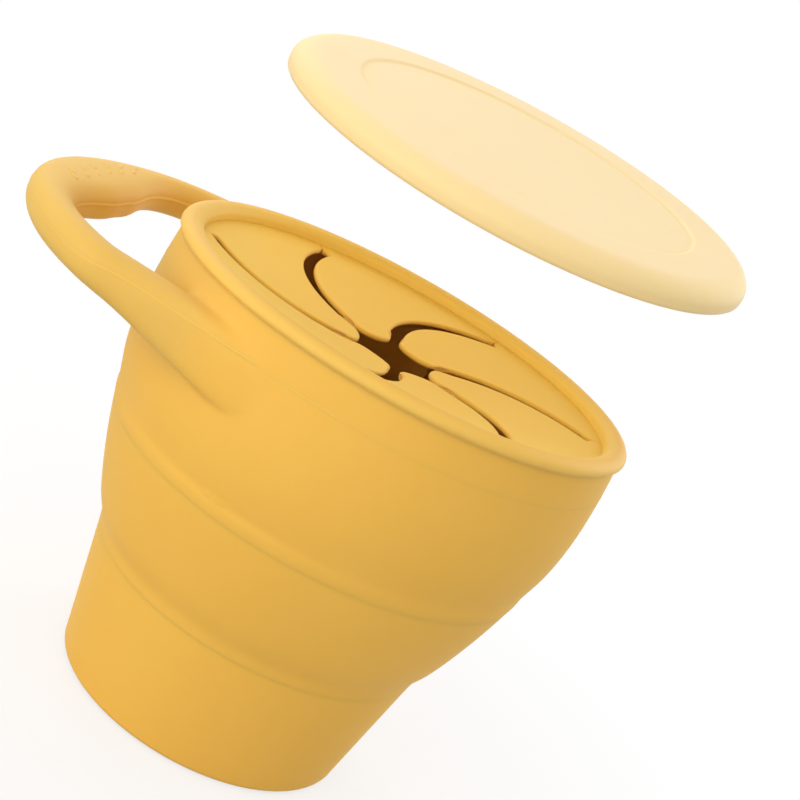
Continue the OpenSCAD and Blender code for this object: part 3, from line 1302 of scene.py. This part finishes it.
@dataclass
class CoverLid:
    """The loose lid, held above the cup where the photograph shows it."""

    form: CupForm
    gap: float = 0.35
    seat_gap: float = 0.1
    wall: float = 1.25
    high: float = 5.0
    hollow: float = 3.2
    ring_w: float = 13.3
    panel_drop: float = 0.4
    step_w: float = 0.9
    lead_in: float = 0.3
    lead_h: float = 1.0
    foot_cut: Point = (0.35, 0.25)
    foot_soft: float = 0.1
    ring_from: float = 2.0
    ring_short: float = 0.5
    band_short: float = 0.4
    band_low: float = 0.6
    round_w: float = 4.5
    round_h: float = 3.4
    lift: float = 34.7
    shift: float = 16.4
    tip: float = math.radians(6.1)
    turn: float = math.radians(2)
    painted_band_w: float = 6.0
    line_w: float = 0.7
    line_share: float = 0.6

    @property
    def skirt_r(self) -> float:
        """Inner radius of the skirt."""
        return self.form.rim_r + self.gap

    @property
    def outer_r(self) -> float:
        """Outer radius of the lid."""
        return self.skirt_r + self.wall

    def section(self) -> list[Point]:
        """Section of the lid.

        Returns:
            Its sunken panel, raised ring, wide round shoulder and shallow skirt.
        """
        skirt, outer = self.skirt_r, self.outer_r
        panel = outer - self.ring_w
        step = [(panel + self.step_w * t, self.high - self.panel_drop * (1 - eased(t)))
                for t in np.linspace(0, 1, 9)]
        ring = [(r, self.high)
                for r in np.linspace(panel + self.ring_from, outer - self.round_w - self.ring_short, 8)]
        round_off = [(outer - self.round_w * (1 - math.cos(a)), self.high - self.round_h * (1 - math.sin(a)))
                     for a in arc(90, 0, 20)]
        band = [(outer, z) for z in np.linspace(self.high - self.round_h - self.band_short, self.band_low, 3)]
        cut_w, cut_h = self.foot_cut
        foot = [(outer - self.foot_soft, cut_h), (outer - cut_w, 0),
                (skirt + self.lead_in, 0), (skirt, self.lead_h),
                (skirt, self.hollow - self.lead_in), (skirt - self.lead_in, self.hollow)]
        panel_top = [(r, self.high - self.panel_drop) for r in np.linspace(0, panel - 1, 12)]
        panel_low = [(r, self.hollow) for r in np.linspace(skirt - 2, 0, 12)]
        return panel_top + step + ring + round_off + band + foot + panel_low

    def place(self) -> Matrix:
        """Where the lid is held.

        Returns:
            The move that carries it from the origin to its closed place and off it along an arc.
        """
        closed_z = self.form.groove_z + self.form.bead_h + self.seat_gap - self.hollow
        chord = math.hypot(self.shift, self.lift)
        arc_r = chord / 2 / math.tan(self.tip / 2)
        pivot = Vector((0, self.shift / 2 - self.lift / chord * arc_r,
                        closed_z + self.lift / 2 + self.shift / chord * arc_r)) * MM
        closed = Matrix.Translation((0, 0, closed_z * MM))
        return (Matrix.Rotation(-self.turn, 4, "Z") @ Matrix.Translation(pivot)
                @ Matrix.Rotation(self.tip, 4, "X") @ Matrix.Translation(-pivot) @ closed)

    def painted_light_share(self, vert: BMVert) -> float:
        """How far a point takes the painted light and shade, before the lid is moved to its place.

        Args:
            vert: The point.

        Returns:
            The share: all of it at the outer edge, and some on the line round the panel, as painted light and
                shade.
        """
        r = axis_distance(vert)
        line = math.exp(-((r - self.outer_r + self.ring_w) / self.line_w) ** 2)
        return max(ramp(r, (self.outer_r - self.painted_band_w, self.painted_band_w)),
                   self.line_share * line if vert.co.z > self.hollow * MM else 0)

    def build(self, material: Material) -> Object:
        """Makes the lid and lets it ride on its own body.

        Args:
            material: The lid's material.

        Returns:
            The lid.
        """
        bm = revolved(self.section())
        # Painted light and shade on the lid's outer edge and on the step round the panel.
        set_painted_light(bm, self.painted_light_share)
        bmesh.ops.transform(bm, matrix=self.place(), verts=bm.verts[:])
        lid = piece("cover_lid_skin", bm, material)
        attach(lid, Body.LID.value)
        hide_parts("cover_lid")
        return lid


# Camera, ground and light


@dataclass
class Studio:
    """A plain pale ground, soft light and the photograph's camera."""

    camera_at: tuple[float, float, float] = (46.31, -292.51, 152.35)
    looks_at: tuple[float, float, float] = (4.88, 0.78, 72.13)
    roll: float = math.radians(30.08)
    lens: float = 74.03
    sensor: float = 36.0
    nearest: float = 10.0
    lamps: dict[str, tuple[float, float, float]] = field(default_factory=lambda: {
        "left_low": (-30, 12, 2.2),
        "far_left_low": (-70, 12, 1.4),
        "front_low": (8, 14, 0.9),
        "front_high": (-40, 40, 1.3),
        "back_left": (-150, 30, 2.0),
        "back_right": (140, 20, 3.2),
    })
    lamp_away: float = 1000.0
    lamp_width: float = 700.0
    world_level: float = 0.67
    ground_half: float = 6000.0
    ground_down: float = 0.2

    def camera(self) -> Object:
        """Makes the camera, turned about its own line of sight as the photograph was.

        Returns:
            The camera, which is the scene's own.
        """
        at, to = Vector(self.camera_at), Vector(self.looks_at)
        sight = (to - at).normalized()
        right = sight.cross(UP).normalized()
        up = right.cross(sight)
        across = right * math.cos(self.roll) + up * math.sin(self.roll)
        upright = up * math.cos(self.roll) - right * math.sin(self.roll)
        data = bpy.data.cameras.new("photo_camera")
        data.lens = self.lens
        data.sensor_width = self.sensor
        data.clip_start = self.nearest * MM
        cam = placed("photo_camera", data)
        turn = Matrix((across, upright, -sight)).transposed().to_4x4()
        cam.matrix_world = Matrix.Translation(at * MM) @ turn
        bpy.context.scene.camera = cam
        return cam

    def ground(self) -> Object:
        """Makes the ground that the cup stands on.

        Returns:
            The ground, which is no part of the model.
        """
        bm = bmesh.new()
        bmesh.ops.create_grid(bm, x_segments=1, y_segments=1, size=self.ground_half * MM)
        bmesh.ops.translate(bm, verts=bm.verts[:], vec=(0, 0, -self.ground_down * MM))
        mesh = bpy.data.meshes.new("ground")
        bm.to_mesh(mesh)
        bm.free()
        mesh.materials.append(PaleGround().build())
        obj = placed("ground", mesh)
        return obj

    def light(self) -> None:
        """Hangs the soft lamps round the object and lights the surroundings."""
        target = Vector(self.looks_at) * MM
        sight = Vector(self.camera_at) * MM - target
        ahead = math.atan2(sight.y, sight.x)
        for name, (turn, rise, power) in self.lamps.items():
            data = bpy.data.lights.new(name, "AREA")
            data.shape = "DISK"
            data.size = self.lamp_width * MM
            data.energy = power
            lamp = placed(name, data)
            side, up = ahead + math.radians(turn), math.radians(rise)
            away = Vector((math.cos(side) * math.cos(up), math.sin(side) * math.cos(up), math.sin(up)))
            lamp.location = target + away * self.lamp_away * MM
            lamp.rotation_euler = (-away).to_track_quat("-Z", "Y").to_euler()
        self.surroundings()

    def surroundings(self) -> None:
        """Makes the world: white where it is seen or mirrored, and a soft pale light elsewhere."""
        world = bpy.data.worlds.new("soft_white")
        world.use_nodes = True
        bpy.context.scene.world = world
        tree = world.node_tree
        out = tree.nodes["World Output"]
        shade = tree.nodes["Background"]
        set_inputs(shade, {"Color": WHITE, "Strength": self.world_level})
        seen = add_node(tree, "Background", {"Color": WHITE, "Strength": 1})
        mix = add_node(tree, "MixShader")
        link_all(tree, (
            (seen_directly(tree), mix.inputs[0]),
            (shade.outputs[0], mix.inputs[1]),
            (seen.outputs[0], mix.inputs[2]),
            (mix.outputs[0], out.inputs["Surface"]),
        ))

    def build(self) -> None:
        """Sets up the camera, the ground and the light."""
        bpy.context.scene.view_settings.view_transform = "Standard"
        self.camera()
        self.ground()
        self.light()


def main() -> None:
    """Builds the studio and each sub-assembly in order."""
    logging.basicConfig(level=logging.INFO, format="%(name)s: %(message)s")
    Studio().build()
    cup, marks, lid = CUP_FINISH.build(), MARK_PAINTED_FINISH.build(), LID_FINISH.build()
    form = CupForm()
    loop = CarryingLoop(form)
    LowerBody(form).build(cup)
    UpperBody(form, loop).build(cup, RIM_PAINTED_FINISH.build(), marks)
    FlapTop(form).build(FLAP_PAINTED_FINISH.build())
    GripMarks(loop).build(marks)
    CoverLid(form).build(lid)


if __name__ == "__main__":
    main()
